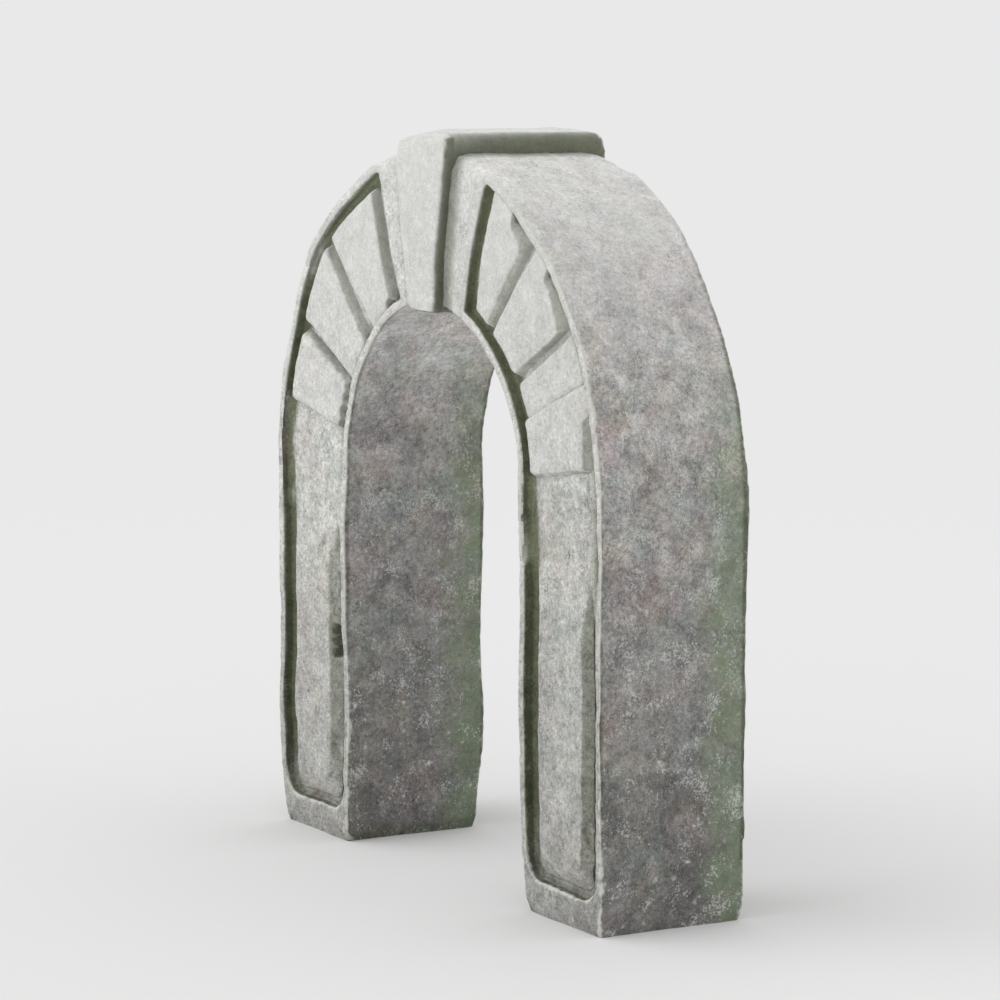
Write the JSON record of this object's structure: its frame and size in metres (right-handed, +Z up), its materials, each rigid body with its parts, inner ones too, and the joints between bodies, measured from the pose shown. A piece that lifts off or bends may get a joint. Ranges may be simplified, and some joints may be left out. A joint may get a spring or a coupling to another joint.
{
  "type": "triumphal arch",
  "caption": "Free-standing stone arch on two legs, with rimmed sunk panels, a ring of wedge blocks and a projecting keystone.",
  "frame": {"origin": "on the ground, midway between the two legs and midway through the wall", "axes": "+Z up, +X to the right along the width, -Y out of the front face"},
  "size_m": [4.35, 1.21, 4.9118],
  "materials": {
    "pale_stone": "rough, bleached by lichen",
    "wall_stone": "rough, weathered grey with lichen and algae",
    "panel_stone": "rough, weathered pale grey",
    "foot_stone": "rough, damp and stained green"
  },
  "bodies": {
    "root": {"back_left_panel": "panel_stone", "back_left_voussoir_1": "pale_stone", "back_left_voussoir_2": "pale_stone", "back_left_voussoir_3": "pale_stone", "back_right_panel": "panel_stone", "back_right_voussoir_1": "pale_stone", "back_right_voussoir_2": "pale_stone", "back_right_voussoir_3": "pale_stone", "back_right_voussoir_4": "pale_stone", "front_left_panel": "panel_stone", "front_left_voussoir_1": "pale_stone", "front_left_voussoir_2": "pale_stone", "front_left_voussoir_3": "pale_stone", "front_right_panel": "panel_stone", "front_right_voussoir_1": "pale_stone", "front_right_voussoir_2": "pale_stone", "front_right_voussoir_3": "pale_stone", "front_right_voussoir_4": "pale_stone", "keystone": "pale_stone", "left_arch_core": "wall_stone", "left_arch_outer_band": "wall_stone", "left_base_stone": "foot_stone", "left_crown_stone": "pale_stone", "left_pier_core": "wall_stone", "left_pier_inner_band": "wall_stone", "left_pier_outer_band": "wall_stone", "left_soffit_band": "wall_stone", "left_springer": "wall_stone", "right_arch_core": "wall_stone", "right_arch_outer_band": "wall_stone", "right_base_stone": "foot_stone", "right_crown_stone": "pale_stone", "right_pier_core": "wall_stone", "right_pier_inner_band": "wall_stone", "right_pier_outer_band": "wall_stone", "right_soffit_band": "wall_stone", "right_springer": "wall_stone"}
  },
  "joints": []
}
